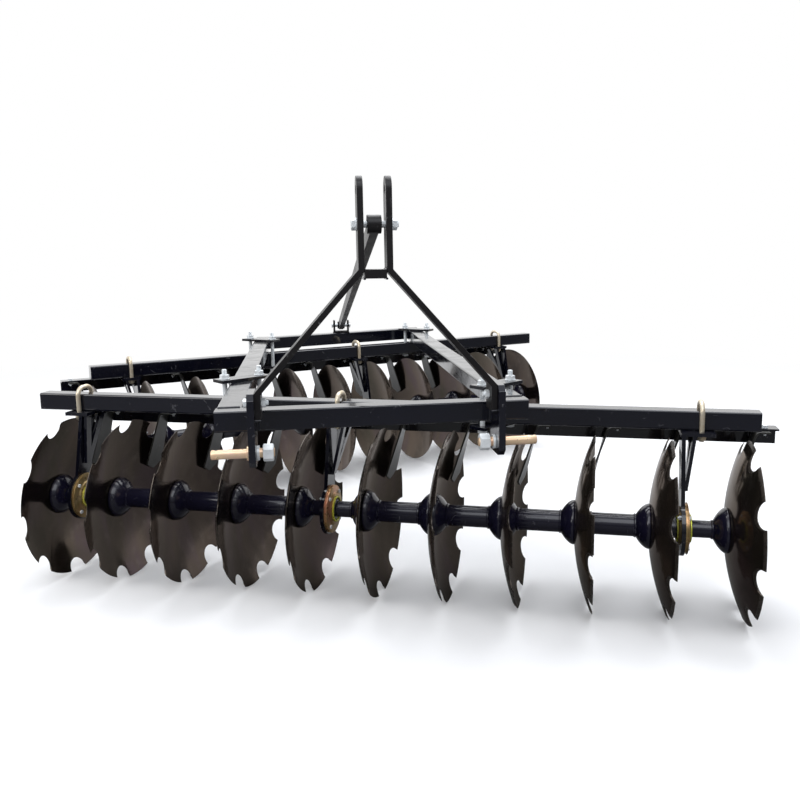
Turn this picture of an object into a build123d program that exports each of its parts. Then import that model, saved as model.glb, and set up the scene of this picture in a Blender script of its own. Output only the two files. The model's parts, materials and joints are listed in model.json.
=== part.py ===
from build123d import *
import math
import os

# Mounted offset disc harrow. Millimetres. The hitch faces -Y, X runs to the right seen from the front.
# Working frame: X = 0 on the hitch centre line, Y = 0 on the front cross tube's face, Z = 0 on the ground.
# Each gang has its own frame: X along its shaft, Y to the rear, Z up, origin on the shaft at the middle disc.

# discs
disc_radius = 230.0
disc_depth = 48.7
disc_thickness = 4.0
disc_count = 11
disc_pitch = 190.7
notch_count = 9
notch_radius = 33.0
shaft_side = 28.0
square_play = 0.5
# each front disc's first notch, in degrees from straight up towards the rear
front_disc_turns = (23.0, 38.5, 34.0, 8.0, 0.0, 26.0, 7.0, 10.0, 22.0, 8.5, 18.5)

# spools between the discs
spool_radius = 28.5
bell_radius = 58.0
bell_length = 38.0
spool_bore = 21.0
neck_radius = 22.0
journal_radius = 26.0
journal_front = 12.0
journal_back = 26.0
end_bell_length = 26.0
end_nut_across = 46.0
end_nut_height = 24.0
shaft_stub = 10.0

# bearings
flange_radius = 66.0
flange_thickness = 4.5
dome_radius = 46.0
dome_front = 10.0
dome_back = 19.0
seal_radius = 36.0
seal_front = 14.0
seal_back = 23.0
journal_fit = 0.05

# gang places
front_gang_x, front_gang_y, front_gang_angle = -15.0, 275.0, -20.6
rear_gang_x, rear_gang_y, rear_gang_angle = -7.0, 1574.0, 21.5

# frame tubes
tube = 50.0
tube_wall = 4.0
tube_corner = 5.0
rail_width = 60.0
frame_width = 750.0
frame_rise = 348.0
rear_cross_y = 1790.0
rail_overhang = 6.0
beam_setback = 66.0
front_beam_left, front_beam_right = -1025.0, 1035.0
rear_beam_left, rear_beam_right = -1005.0, 1048.0
seat_gap = 0.3
pin_play = 0.2

# clamps where the beams pass under the rails
clamp_length = 156.0
clamp_width = 54.0
clamp_thickness = 9.0
clamp_bolt_spacing = 112.0
clamp_bolt_radius = 7.0
clamp_bolt_end = 14.0
clamp_turn = 34.5

# hitch plates and lower pins
plate_thickness = 16.0
plate_depth = 90.0
plate_drop = 116.0
plate_rise = 52.0
plate_outer = 294.0
plate_corner = 14.0
pin_drop = 89.0
pin_y = -48.0
pin_radius = 11.0
pin_out = 86.0
pin_in = 40.0
collar_radius = 17.0
collar_width = 6.0
pin_nut_across = 36.0
pin_nut_width = 24.0
pin_nut_gap = 14.0
pin_chamfer = 2.0
linch_hole_radius = 3.5
linch_hole_inset = 12.0

# mast
mast_bar_thickness = 14.0
mast_bar_width = 60.0
mast_outer = 39.0
mast_straight = 206.0
mast_rise = 528.0
mast_y = -45.0
mast_foot_rise = 62.0
mast_inner_drop = 4.0
link_hole_radius = 10.0
tie_height = 20.0
mast_bolt_radius = 8.0
mast_bolt_drop = 106.0
mast_bolt_reach = 56.0

# rear brace, its clevis and pin
brace_width = 40.0
brace_thickness = 20.0
bush_radius = 21.0
bush_length = 32.0
foot_eye_radius = 16.0
clevis_thickness = 8.0
clevis_inner = 54.0
clevis_length = 40.0
clevis_rise = 56.0
clevis_pin_radius = 8.0
clevis_pin_rise = 34.0
clevis_pin_end = 8.0

# hangers
hanger_plate_thickness = 10.0
hanger_plate_front = 12.0
hanger_plate_back = 180.0
standard_width = 64.0
standard_thickness = 10.0
standard_foot = 39.6
standard_rim = 4.0
leg_width = 22.0
leg_thickness = 9.0
leg_front = 25.0
leg_back = 96.0
leg_join = 96.0
leg_sink = 0.5
# name, bearing, U-bolt, start and end of the plate, legs, each measured along the shaft
front_hangers = (
    ("left", -862.0, -890.0, -922.0, -850.0, -857.0),
    ("middle", -92.0, -82.0, -107.0, -50.0, -60.0),
    ("right", 854.0, 890.0, 839.0, 922.0, 872.0),
)
rear_hangers = (
    ("left", -854.0, -863.0, -896.0, -832.0, -885.0),
    ("middle", 106.0, 97.0, 64.0, 128.0, 75.0),
    ("right", 862.0, 853.0, 820.0, 884.0, 831.0),
)
u_bolt_radius = 6.5
u_bolt_clear = 0.8
u_bolt_rise = 19.0
u_bolt_bend = 24.0
u_bolt_tail = 16.0

# scraper bars, rolled angles with one leg on top, and the scrapers under that leg
scraper_bar_leg = 48.0
scraper_bar_wall = 5.0
scraper_bar_root = 5.0
scraper_bar_front = 135.0
scraper_bar_near = -940.0
scraper_bar_far = 1098.0
scraper_front = 116.0
scraper_width = 58.0
scraper_thickness = 5.0
scraper_bend = 12.0
scraper_bend_at = 88.0
scraper_lean = 0.33
scraper_tab_end = 120.0
scraper_straight = 26.8
scraper_tip = 50.0
scraper_tip_front = 67.0
scraper_tip_back = 72.0
scraper_play = 6.0

axle_height = disc_radius
frame_top = axle_height + frame_rise
frame_low = frame_top - tube
beam_top = frame_low - seat_gap
beam_low = beam_top - tube
sphere_radius = (disc_radius ** 2 + disc_depth ** 2) / (2 * disc_depth)
hanger_top = beam_low - seat_gap - axle_height
hanger_low = hanger_top - hanger_plate_thickness
scraper_bar_top = hanger_low - seat_gap
plate_low = frame_top - plate_drop
plate_high = frame_top + plate_rise
pin_height = frame_top - pin_drop
mast_top = frame_top + mast_rise
mast_knee = mast_top - mast_straight
mast_bolt_height = mast_top - mast_bolt_drop


def box_between(x0, x1, y0, y1, z0, z1):
    return Pos((x0 + x1) / 2, (y0 + y1) / 2, (z0 + z1) / 2) * Box(x1 - x0, y1 - y0, z1 - z0)


def rod_x(radius, x0, x1, y=0.0, z=0.0):
    return Pos((x0 + x1) / 2, y, z) * (Rot(0, 90, 0) * Cylinder(radius, x1 - x0))


def rod_z(radius, z0, z1, x=0.0, y=0.0):
    return Pos(x, y, (z0 + z1) / 2) * Cylinder(radius, z1 - z0)


def hex_x(across, x0, x1, y=0.0, z=0.0):
    prism = extrude(RegularPolygon(across / math.sqrt(3), 6), x1 - x0)
    return Pos(x0, y, z) * (Rot(0, 90, 0) * prism)


def plate_x(points, x0, x1):
    """Flat plate of thickness x1 - x0 with its outline given as (y, z) points."""
    outline = Plane.YZ * make_face(Polyline(*points, close=True))
    return Pos(x0, 0, 0) * extrude(outline, x1 - x0)


def square_tube(x0, x1, width, height):
    """Rounded square tube along X, centred on Y and Z, closed at both ends."""
    outer = Plane.YZ * RectangleRounded(width, height, tube_corner)
    inner = Plane.YZ * Rectangle(width - 2 * tube_wall, height - 2 * tube_wall)
    body = Pos(x0, 0, 0) * extrude(outer, x1 - x0)
    core = Pos(x0 + tube_wall, 0, 0) * extrude(inner, x1 - x0 - 2 * tube_wall)
    return body - core


def sag(radius):
    return sphere_radius - math.sqrt(sphere_radius ** 2 - radius ** 2)


def disc_stations():
    return [(i - (disc_count - 1) / 2) * disc_pitch for i in range(disc_count)]


def face_arc(x, side, r0, r1):
    """Arc in the XZ section that follows the dished face at x from radius r0 to radius r1."""
    mid = (r0 + r1) / 2
    return ThreePointArc(*((x + side * sag(r), r) for r in (r0, mid, r1)))


def dished_disc(side, notches):
    """Disc about the X axis with the vertex of its back at X = 0 and its hollow side towards side * X."""
    front = side * disc_thickness
    edge = side * sag(disc_radius)
    section = make_face([
        face_arc(0, side, 0, disc_radius),
        Line((edge, disc_radius), (edge + front, disc_radius)),
        face_arc(front, side, disc_radius, 0),
        Line((front, 0), (0, 0)),
    ])
    body = revolve(Plane.XZ * section, Axis.X, 360)
    for k in range(notches):
        turn = 2 * math.pi * k / notches
        y, z = disc_radius * math.sin(turn), disc_radius * math.cos(turn)
        body -= rod_x(notch_radius, edge - notch_radius, edge + notch_radius, y, z)
    return body


def bell_curve(x, reach, radius):
    """Quarter ellipse from the bell's rim at x to a tube of this radius at x + reach."""
    n = 8
    pts = []
    for k in range(n + 1):
        a = math.pi / 2 * k / n
        pts.append((x + reach * math.sin(a), radius + (bell_radius - radius) * math.cos(a)))
    return Spline(*pts)


def spool(x0, x1, side, bearing=None):
    """Spool between the faces of two discs, with a bell against each; a journal where a bearing runs."""
    rim0, rim1 = x0 + side * sag(bell_radius), x1 + side * sag(bell_radius)
    tube_r = spool_radius if bearing is None else neck_radius
    edges = [
        face_arc(x0, side, spool_bore, bell_radius),
        bell_curve(rim0, bell_length, tube_r),
        Line((rim0 + bell_length, tube_r), (rim1 - bell_length, tube_r)),
        bell_curve(rim1, -bell_length, tube_r),
        face_arc(x1, side, bell_radius, spool_bore),
        Line((x1 + side * sag(spool_bore), spool_bore), (x0 + side * sag(spool_bore), spool_bore)),
    ]
    body = revolve(Plane.XZ * make_face(edges), Axis.X, 360)
    if bearing is not None:
        ends = sorted((bearing - side * journal_back, bearing + side * journal_front))
        body += rod_x(journal_radius, *ends) - rod_x(spool_bore, x0, x1)
    return body


def gang_discs(side, notches, turns):
    """Discs on their square holes; the notches of each stand at its own turn."""
    disc = dished_disc(side, notches)
    hole = Box(2 * disc_depth, shaft_side + 2 * square_play, shaft_side + 2 * square_play)
    placed = zip(disc_stations(), turns)
    return Compound([Pos(x, 0, 0) * (Rot(-turn, 0, 0) * disc - hole) for x, turn in placed])


def end_bell(side, end):
    """Half bell against the outermost disc at this end, and where its outer face stands."""
    bend = 1 if end == side else -1
    face = disc_stations()[-1] + seat_gap + (disc_thickness if end == side else 0)
    rim = face + bend * sag(bell_radius)
    outer = rim + end_bell_length
    bell = revolve(Plane.XZ * make_face([
        face_arc(face, bend, spool_bore, bell_radius),
        bell_curve(rim, end_bell_length, spool_radius),
        Line((outer, spool_radius), (outer, spool_bore)),
        Line((outer, spool_bore), (face + bend * sag(spool_bore), spool_bore)),
    ]), Axis.X, 360)
    return Rot(0, 0, 90 - 90 * end) * bell, outer


def gang_spools(side, bearings):
    parts = [end_bell(side, end)[0] for end in (-1, 1)]
    stations = disc_stations()
    for a, b in zip(stations, stations[1:]):
        x0 = a + seat_gap + (disc_thickness if side > 0 else 0)
        x1 = b - seat_gap - (disc_thickness if side < 0 else 0)
        inside = [p for p in bearings if a < p < b]
        parts.append(spool(x0, x1, side, inside[0] if inside else None))
    return Compound(parts)


def gang_shaft(side):
    """Square shaft through the gang with a nut on each end."""
    reach = {end: end_bell(side, end)[1] + seat_gap for end in (-1, 1)}
    half = shaft_side / 2
    shaft = box_between(-reach[-1] - end_nut_height - shaft_stub, reach[1] + end_nut_height + shaft_stub,
                        -half, half, -half, half)
    for end in (-1, 1):
        shaft += Rot(0, 0, 90 - 90 * end) * hex_x(end_nut_across, reach[end], reach[end] + end_nut_height)
    return shaft


def bearing_housings(places, side):
    """Flanged housings, low on the hollow side and deeper where they pass through the standard."""
    body = rod_x(flange_radius, -flange_thickness, flange_thickness)
    body += rod_x(dome_radius, *sorted((-side * dome_back, side * dome_front)))
    body += rod_x(seal_radius, *sorted((-side * seal_back, side * seal_front)))
    body -= rod_x(journal_radius + journal_fit, -2 * seal_back, 2 * seal_back)
    return Compound([Pos(x, 0, 0) * body for x in places])


def slab(x, y, z):
    """Section of a hanger leg at height z."""
    return Pos(x, y, z) * Rectangle(leg_thickness, leg_width)


def hanger(bearing, hook, start, end, leg, side):
    """Plate under the beam, upright standard beside the bearing and two slanting legs."""
    plate = box_between(start, end, hanger_plate_front, hanger_plate_back, hanger_low, hanger_top)
    for y in u_bolt_legs():
        plate -= rod_z(u_bolt_radius + u_bolt_clear, hanger_low - 1, hanger_top + 1, hook, y)
    face = bearing - side * (flange_thickness + seat_gap)
    x0, x1 = sorted((face, face - side * standard_thickness))
    half, sunk = standard_width / 2, hanger_low + leg_sink
    top_y = hanger_plate_front + half
    standard = plate_x(((top_y - half, sunk), (top_y + half, sunk),
                        (half, standard_foot), (-half, standard_foot)), x0, x1)
    standard += rod_x(flange_radius + standard_rim, x0, x1)
    standard -= rod_x(dome_radius + 1, x0 - 1, x1 + 1)
    join_x = face + side * (leg_thickness / 2 - leg_sink)
    join_y = top_y * leg_join / hanger_low
    for y in (leg_front, leg_back):
        standard += loft([slab(join_x, join_y, leg_join), slab(leg, y, sunk)])
    return plate + standard


def u_bolt_legs():
    reach = tube / 2 + u_bolt_radius + u_bolt_clear
    return beam_setback - reach, beam_setback + reach


def u_bolts(places):
    """Round bar bent over the beam; both legs go through the hanger's plate."""
    parts = []
    y0, y1 = u_bolt_legs()
    low = hanger_low - u_bolt_tail
    crown = beam_top - axle_height + u_bolt_rise
    for x in places:
        path = FilletPolyline((x, y0, low), (x, y0, crown), (x, y1, crown), (x, y1, low), radius=u_bolt_bend)
        parts.append(sweep(Pos(x, y0, low) * Circle(u_bolt_radius), path))
    return Compound(parts)


def scraper_bar_angle(side):
    """Rolled angle along the gang: one leg on top, the other upright at the back."""
    x0, x1 = sorted((side * scraper_bar_near, side * scraper_bar_far))
    y0, y1 = scraper_bar_front, scraper_bar_front + scraper_bar_leg
    z0, z1 = scraper_bar_top - scraper_bar_leg, scraper_bar_top
    inner_y, inner_z = y1 - scraper_bar_wall, z1 - scraper_bar_wall
    bar = plate_x(((y0, z1), (y1, z1), (y1, z0), (inner_y, z0), (inner_y, inner_z), (y0, inner_z)), x0, x1)
    root = bar.edges().filter_by(Axis.X).sort_by_distance((0, inner_y, inner_z))[0]
    return fillet(root, scraper_bar_root)


def scraper_line(side, z, t0, y0, t1, y1):
    """Level section through a scraper at height z, from (t0, y0) to (t1, y1)."""
    h = scraper_thickness / 2 * math.hypot(1, scraper_lean)
    points = ((side * t, y) for t, y in ((t0 - h, y0), (t1 - h, y1), (t1 + h, y1), (t0 + h, y0)))
    return Pos(0, 0, z) * make_face(Polyline(*points, close=True))


def clear_of_disc(y, z):
    """How far from the disc's vertex a scraper's middle is where it just clears the hollow face."""
    h = scraper_thickness / 2 * math.hypot(1, scraper_lean)
    return disc_thickness + sag(math.hypot(y, z)) + scraper_play + h


def scraper_strip(side):
    """Flat bar with its top bent into a tab, twisted below so that its end lies along the hollow face."""
    y0, y1 = scraper_front, scraper_front + scraper_width
    z1 = scraper_bar_top - scraper_bar_wall - seat_gap
    zm, z0 = z1 - scraper_straight, scraper_tip
    h = scraper_thickness / 2 * math.hypot(1, scraper_lean)

    def middle(z):
        return scraper_bend_at - (z1 - z) * scraper_lean

    low = z1 - scraper_thickness
    points = ((middle(zm) - h, zm), (middle(z1) - h, z1), (scraper_tab_end, z1), (scraper_tab_end, low),
              (middle(low) + h, low), (middle(zm) + h, zm))
    outline = make_face(Polyline(*((side * t, z) for t, z in points), close=True))
    top = Pos(0, y1, 0) * extrude(Plane.XZ * outline, scraper_width)
    centre = (y0 + y1) / 2
    for t, z, radius in ((middle(z1) - h, z1, scraper_bend + scraper_thickness),
                         (middle(low) + h, low, scraper_bend)):
        bend = top.edges().filter_by(Axis.Y).sort_by_distance((side * t, centre, z))[0]
        top = fillet(bend, radius)
    blade = loft([scraper_line(side, z0, clear_of_disc(y0, z0), y0, clear_of_disc(y1, z0), y1),
                  scraper_line(side, zm, middle(zm), y0, middle(zm), y1)], ruled=True)
    x0, x1 = sorted((0, side * scraper_tab_end))
    for y, z in ((y0, scraper_tip_front), (y1, scraper_tip_back)):
        blade -= plate_x(((y, z), (centre, z0), (y, z0)), x0, x1)
    return top + blade


def scrapers(side):
    strip = scraper_strip(side)
    return Compound([Pos(x, 0, 0) * strip for x in disc_stations()])


def gang_place(x, y, angle):
    return Pos(x, y, axle_height) * Rot(0, 0, angle)


def crossings(x, y, angle):
    """Points where the gang beam passes under the two rails."""
    turn = math.radians(angle)
    cx = x - beam_setback * math.sin(turn)
    cy = y + beam_setback * math.cos(turn)
    rail = frame_width / 2 - rail_width / 2
    return [(s * rail, cy + (s * rail - cx) * math.tan(turn)) for s in (-1, 1)]


def clamp_holes(x, y, turn):
    a = math.radians(turn)
    d = clamp_bolt_spacing / 2
    return [(x + s * d * math.cos(a), y + s * d * math.sin(a)) for s in (-1, 1)]


def clamp_set(points, turn):
    """Top and bottom plates with two bolts at each crossing."""
    plates, bolts = [], []
    low = beam_low - seat_gap - clamp_thickness
    high = frame_top + seat_gap
    for x, y in points:
        for z in (low, high):
            plate = Pos(x, y, z + clamp_thickness / 2) * (
                Rot(0, 0, turn) * Box(clamp_length, clamp_width, clamp_thickness))
            for bx, by in clamp_holes(x, y, turn):
                plate -= rod_z(clamp_bolt_radius + 1, z - 1, z + clamp_thickness + 1, bx, by)
            plates.append(plate)
        for bx, by in clamp_holes(x, y, turn):
            bolts.append(rod_z(clamp_bolt_radius, low - clamp_bolt_end,
                               high + clamp_thickness + clamp_bolt_end, bx, by))
    return Compound(plates), Compound(bolts)


def rail(s):
    slope = math.tan(math.radians(rear_gang_angle))
    half_depth = tube / 2 / math.cos(math.radians(rear_gang_angle))
    x = s * (frame_width / 2 - rail_width / 2)
    length = rear_cross_y + slope * x + half_depth + rail_overhang - tube - seat_gap
    bar = square_tube(0, length, rail_width, tube)
    return Pos(x, tube + seat_gap, frame_top - tube / 2) * (Rot(0, 0, 90) * bar)


def rear_cross():
    inner = frame_width / 2 - rail_width - seat_gap
    bar = Pos(0, rear_cross_y, frame_top - tube / 2) * (
        Rot(0, 0, rear_gang_angle) * square_tube(-frame_width, frame_width, tube, tube))
    return bar & box_between(-inner, inner, 0, 2 * rear_cross_y, frame_low, frame_top)


def hitch_plate(s):
    x0, x1 = sorted((s * plate_outer, s * (plate_outer - plate_thickness)))
    y0, y1, c = -plate_depth, -seat_gap, plate_corner
    plate = plate_x(((y0, plate_low + c), (y0 + c, plate_low), (y1, plate_low), (y1, plate_high),
                     (y0 + c, plate_high), (y0, plate_high - c)), x0, x1)
    return plate - rod_x(pin_radius + pin_play, x0 - 1, x1 + 1, pin_y, pin_height)


def hitch_pin(s):
    tip = plate_outer + pin_out
    inner = plate_outer - plate_thickness
    shank = rod_x(pin_radius, inner - pin_in, tip)
    shank = chamfer(shank.edges().filter_by(GeomType.CIRCLE), pin_chamfer)
    shank -= rod_z(linch_hole_radius, -20, 20, tip - linch_hole_inset)
    pin = shank
    for x in (plate_outer + seat_gap, inner - seat_gap - collar_width):
        pin += rod_x(collar_radius, x, x + collar_width)
    pin += hex_x(pin_nut_across, inner - pin_nut_gap - pin_nut_width, inner - pin_nut_gap)
    if s < 0:
        pin = Rot(0, 0, 180) * pin
    return Pos(0, pin_y, pin_height) * pin


def mast_bar(s):
    """Flat bar bent at the knee: upright above it, spread to the hitch plate below it."""
    t = mast_bar_thickness
    foot = plate_outer - plate_thickness - seat_gap
    outline = make_face(Polyline(
        (mast_outer - t, mast_top), (mast_outer, mast_top), (mast_outer, mast_knee),
        (foot, plate_high), (foot, plate_high - mast_foot_rise),
        (foot - t, plate_high - mast_foot_rise), (foot - t, plate_high - mast_inner_drop),
        (mast_outer - t, mast_knee - mast_inner_drop), close=True))
    bar = Pos(0, mast_y + mast_bar_width / 2, 0) * extrude(Plane.XZ * outline, mast_bar_width)
    r = mast_bar_width / 2
    head = box_between(mast_outer - t - 1, mast_outer + 1, mast_y - r, mast_y + r, mast_top - r, mast_top + 1)
    head -= rod_x(r, mast_outer - t - 1, mast_outer + 1, mast_y, mast_top - r)
    bar -= head
    bar -= rod_x(link_hole_radius, 0, mast_outer + 1, mast_y, mast_top - r)
    bar -= rod_x(mast_bolt_radius + pin_play, 0, mast_outer + 1, mast_y, mast_bolt_height)
    return bar if s > 0 else mirror(bar, Plane.YZ)


def rear_brace():
    y1, z1 = rear_cross_y, frame_top + clevis_pin_rise
    run, fall = y1 - mast_y, z1 - mast_bolt_height
    bar = Box(brace_thickness, math.hypot(run, fall), brace_width)
    tilt = math.degrees(math.atan2(fall, run))
    brace = Pos(0, (y1 + mast_y) / 2, (z1 + mast_bolt_height) / 2) * (Rot(tilt, 0, 0) * bar)
    half = bush_length / 2
    brace += rod_x(bush_radius, -half, half, mast_y, mast_bolt_height)
    brace += rod_x(foot_eye_radius, -half, half, y1, z1)
    brace -= rod_x(mast_bolt_radius + pin_play, -half - 1, half + 1, mast_y, mast_bolt_height)
    brace -= rod_x(clevis_pin_radius + pin_play, -half - 1, half + 1, y1, z1)
    return brace


def brace_clevis():
    outer = clevis_inner / 2 + clevis_thickness
    y0, y1 = rear_cross_y - clevis_length / 2, rear_cross_y + clevis_length / 2
    z0 = frame_top + seat_gap
    body = box_between(-outer, outer, y0, y1, z0, z0 + clevis_rise)
    body -= box_between(-clevis_inner / 2, clevis_inner / 2, y0 - 1, y1 + 1,
                        z0 + clevis_thickness, z0 + clevis_rise + 1)
    pin_z = frame_top + clevis_pin_rise
    return body - rod_x(clevis_pin_radius + pin_play, -outer - 1, outer + 1, rear_cross_y, pin_z)


def clevis_pin():
    reach = clevis_inner / 2 + clevis_thickness + clevis_pin_end
    return rod_x(clevis_pin_radius, -reach, reach, rear_cross_y, frame_top + clevis_pin_rise)


def mast_tie():
    inner = mast_outer - mast_bar_thickness - seat_gap
    return box_between(-inner, inner, mast_y - mast_bar_width / 2, mast_y + mast_bar_width / 2,
                       mast_knee - tie_height, mast_knee)


def build_nodes():
    nodes = {}
    half = frame_width / 2
    nodes["front_cross_tube"] = Pos(0, tube / 2, frame_top - tube / 2) * square_tube(-half, half, tube, tube)
    nodes["rear_cross_tube"] = rear_cross()
    for name, s in (("left", -1), ("right", 1)):
        nodes["rail_" + name] = rail(s)
        nodes["hitch_plate_" + name] = hitch_plate(s)
        nodes["hitch_pin_" + name] = hitch_pin(s)
        nodes["mast_bar_" + name] = mast_bar(s)
    nodes["mast_tie"] = mast_tie()
    nodes["mast_bolt"] = rod_x(mast_bolt_radius, -mast_bolt_reach, mast_bolt_reach, mast_y, mast_bolt_height)
    nodes["rear_brace"] = rear_brace()
    nodes["brace_clevis"] = brace_clevis()
    nodes["clevis_pin"] = clevis_pin()
    # name, x, y, angle, hollow side of the discs, beam ends, hangers, notches, turn of each disc
    gangs = (
        ("front", front_gang_x, front_gang_y, front_gang_angle, 1,
         front_beam_left, front_beam_right, front_hangers, notch_count, front_disc_turns),
        ("rear", rear_gang_x, rear_gang_y, rear_gang_angle, -1,
         rear_beam_left, rear_beam_right, rear_hangers, 0, (0.0,) * disc_count),
    )
    for name, x, y, angle, side, left, right, hangers, notches, turns in gangs:
        place = gang_place(x, y, angle)
        bearings = [bearing for _, bearing, _, _, _, _ in hangers]
        beam = Pos(0, beam_setback, beam_low + tube / 2 - axle_height) * square_tube(left, right, tube, tube)
        nodes[name + "_gang_beam"] = place * beam
        nodes[name + "_discs"] = place * gang_discs(side, notches, turns)
        nodes[name + "_spools"] = place * gang_spools(side, bearings)
        nodes[name + "_shaft"] = place * gang_shaft(side)
        nodes[name + "_bearings"] = place * bearing_housings(bearings, side)
        for label, bearing, hook, start, end, leg in hangers:
            nodes[name + "_hanger_" + label] = place * hanger(bearing, hook, start, end, leg, side)
        nodes[name + "_u_bolts"] = place * u_bolts([hook for _, _, hook, _, _, _ in hangers])
        nodes[name + "_scraper_bar"] = place * scraper_bar_angle(side)
        nodes[name + "_scrapers"] = place * scrapers(side)
        plates, bolts = clamp_set(crossings(x, y, angle), side * clamp_turn)
        nodes[name + "_clamp_plates"] = plates
        nodes[name + "_clamp_bolts"] = bolts
    return nodes


def base_centre(nodes):
    boxes = [shape.bounding_box() for shape in nodes.values()]
    x = (min(b.min.X for b in boxes) + max(b.max.X for b in boxes)) / 2
    y = (min(b.min.Y for b in boxes) + max(b.max.Y for b in boxes)) / 2
    return Pos(-x, -y, -min(b.min.Z for b in boxes))


all_nodes = build_nodes()
shift = base_centre(all_nodes)
print("moved by", tuple(round(v, 3) for v in shift.position))
os.makedirs("parts", exist_ok=True)
for node, shape in all_nodes.items():
    export_step(shift * shape, "parts/" + node + ".step")
    print(node, round(shape.volume / 1000), "cm3")
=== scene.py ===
import bpy
import bmesh
import json
import math
import random
from mathutils import Matrix, Vector


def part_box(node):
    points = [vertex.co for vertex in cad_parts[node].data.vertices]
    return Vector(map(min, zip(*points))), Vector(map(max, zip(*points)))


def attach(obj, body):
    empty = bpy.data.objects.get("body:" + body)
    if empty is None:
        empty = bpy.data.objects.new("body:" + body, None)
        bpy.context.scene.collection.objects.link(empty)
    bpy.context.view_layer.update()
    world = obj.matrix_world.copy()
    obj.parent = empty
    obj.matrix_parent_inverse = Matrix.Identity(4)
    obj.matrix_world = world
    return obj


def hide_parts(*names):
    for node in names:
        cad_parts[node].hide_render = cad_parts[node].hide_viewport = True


# offset disc harrow: paint, discs, bearings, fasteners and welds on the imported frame
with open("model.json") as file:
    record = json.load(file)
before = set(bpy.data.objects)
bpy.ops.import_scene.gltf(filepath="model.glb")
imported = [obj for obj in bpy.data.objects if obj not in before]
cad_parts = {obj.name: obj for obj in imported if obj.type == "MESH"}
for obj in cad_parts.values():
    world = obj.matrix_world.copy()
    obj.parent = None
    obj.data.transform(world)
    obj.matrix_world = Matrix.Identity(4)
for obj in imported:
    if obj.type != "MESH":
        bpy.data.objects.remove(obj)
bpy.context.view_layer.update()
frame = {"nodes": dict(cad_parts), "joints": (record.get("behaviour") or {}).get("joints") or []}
random.seed(11)
mm = 0.001
print("frame loaded with", len(frame["nodes"]), "nodes")

# hitchPlace stands under the front face of the front cross tube, in its middle
tubeLow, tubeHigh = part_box("front_cross_tube")
hitchPlace = Matrix.Translation(((tubeLow.x + tubeHigh.x) / 2, tubeLow.y, 0))
frameForm = {
    "top": 578, "low": 528, "tube": 50, "railInner": 315, "railOuter": 375, "plateOuter": 294, "plate": 16,
    "rearY": 1790, "rearSkew": 21.5, "hangerTop": 247.4,  # the last is measured from the shaft
}

# each gang's place has X along its shaft; along it stand the bearings, U-bolts, the hangers' back legs
# and the ends of the hanger plates
gangs = {
    "front": {
        "body": "front_gang", "side": 1, "notches": 9, "clampTurn": 34.5,
        "turns": (23, 38.5, 34, 8, 0, 26, 7, 10, 22, 8.5, 18.5),  # first notch of each disc, from the top
        "bearings": (-862, -92, 854), "hooks": (-890, -82, 890), "legs": (-857, -60, 872),
        "plates": ((-922, -850), (-107, -50), (839, 922)),
    },
    "rear": {
        "body": "rear_gang", "side": -1, "notches": 0, "clampTurn": -34.5, "turns": (0,) * 11,
        "bearings": (-854, 106, 862), "hooks": (-863, 97, 853), "legs": (-885, 75, 831),
        "plates": ((-896, -832), (64, 128), (820, 884)),
    },
}
for joint in frame["joints"]:
    gang = gangs[joint["child"].split("_")[0]]
    gang["angle"] = math.atan2(joint["axis"][1], joint["axis"][0])
    gang["place"] = Matrix.Translation(joint["pos_m"]) @ Matrix.Rotation(gang["angle"], 4, "Z")
stations = [(i - 5) * 190.7 for i in range(11)]  # vertex of each disc along its shaft


# short ways to add the nodes of a finish

def newFinish(name, colour, roughness, metallic=0.0):
    finish = bpy.data.materials.new(name)
    finish.use_nodes = True
    tree = finish.node_tree
    shader = tree.nodes["Principled BSDF"]
    shader.inputs["Base Color"].default_value = (*colour, 1)
    shader.inputs["Roughness"].default_value = roughness
    shader.inputs["Metallic"].default_value = metallic
    return finish, tree, shader


def noiseOn(tree, scale, detail, stretch=(1, 1, 1), distortion=0.0):
    coords = tree.nodes.new("ShaderNodeTexCoord")
    mapping = tree.nodes.new("ShaderNodeMapping")
    mapping.inputs["Scale"].default_value = stretch
    noise = tree.nodes.new("ShaderNodeTexNoise")
    noise.inputs["Scale"].default_value = scale
    noise.inputs["Detail"].default_value = detail
    noise.inputs["Distortion"].default_value = distortion
    tree.links.new(coords.outputs["Object"], mapping.inputs["Vector"])
    tree.links.new(mapping.outputs["Vector"], noise.inputs["Vector"])
    return noise.outputs["Fac"]


def rampOn(tree, source, stops):
    ramp = tree.nodes.new("ShaderNodeValToRGB")
    marks = ramp.color_ramp.elements
    while len(marks) < len(stops):
        marks.new(0.5)
    for mark, (place, colour) in zip(marks, stops):
        mark.position = place
        mark.color = (*colour, 1)
    tree.links.new(source, ramp.inputs["Fac"])
    return ramp.outputs["Color"]


def rangeOn(tree, source, low, high, fromLow=0.3, fromHigh=0.7):
    span = tree.nodes.new("ShaderNodeMapRange")
    span.inputs["From Min"].default_value = fromLow
    span.inputs["From Max"].default_value = fromHigh
    span.inputs["To Min"].default_value = low
    span.inputs["To Max"].default_value = high
    tree.links.new(source, span.inputs["Value"])
    return span.outputs["Result"]


def mathOn(tree, operation, a, b, clamp=True):
    node = tree.nodes.new("ShaderNodeMath")
    node.operation = operation
    node.use_clamp = clamp
    for socket, value in zip(node.inputs, (a, b)):
        if isinstance(value, (int, float)):
            socket.default_value = value
        else:
            tree.links.new(value, socket)
    return node.outputs["Value"]


def measureOn(tree, operation, *vectors):
    node = tree.nodes.new("ShaderNodeVectorMath")
    node.operation = operation
    for socket, vector in zip(node.inputs, vectors):
        tree.links.new(vector, socket)
    return node.outputs["Value"]


def axisOf(tree, source, axis):
    split = tree.nodes.new("ShaderNodeSeparateXYZ")
    tree.links.new(source, split.inputs["Vector"])
    return split.outputs[axis]


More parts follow.
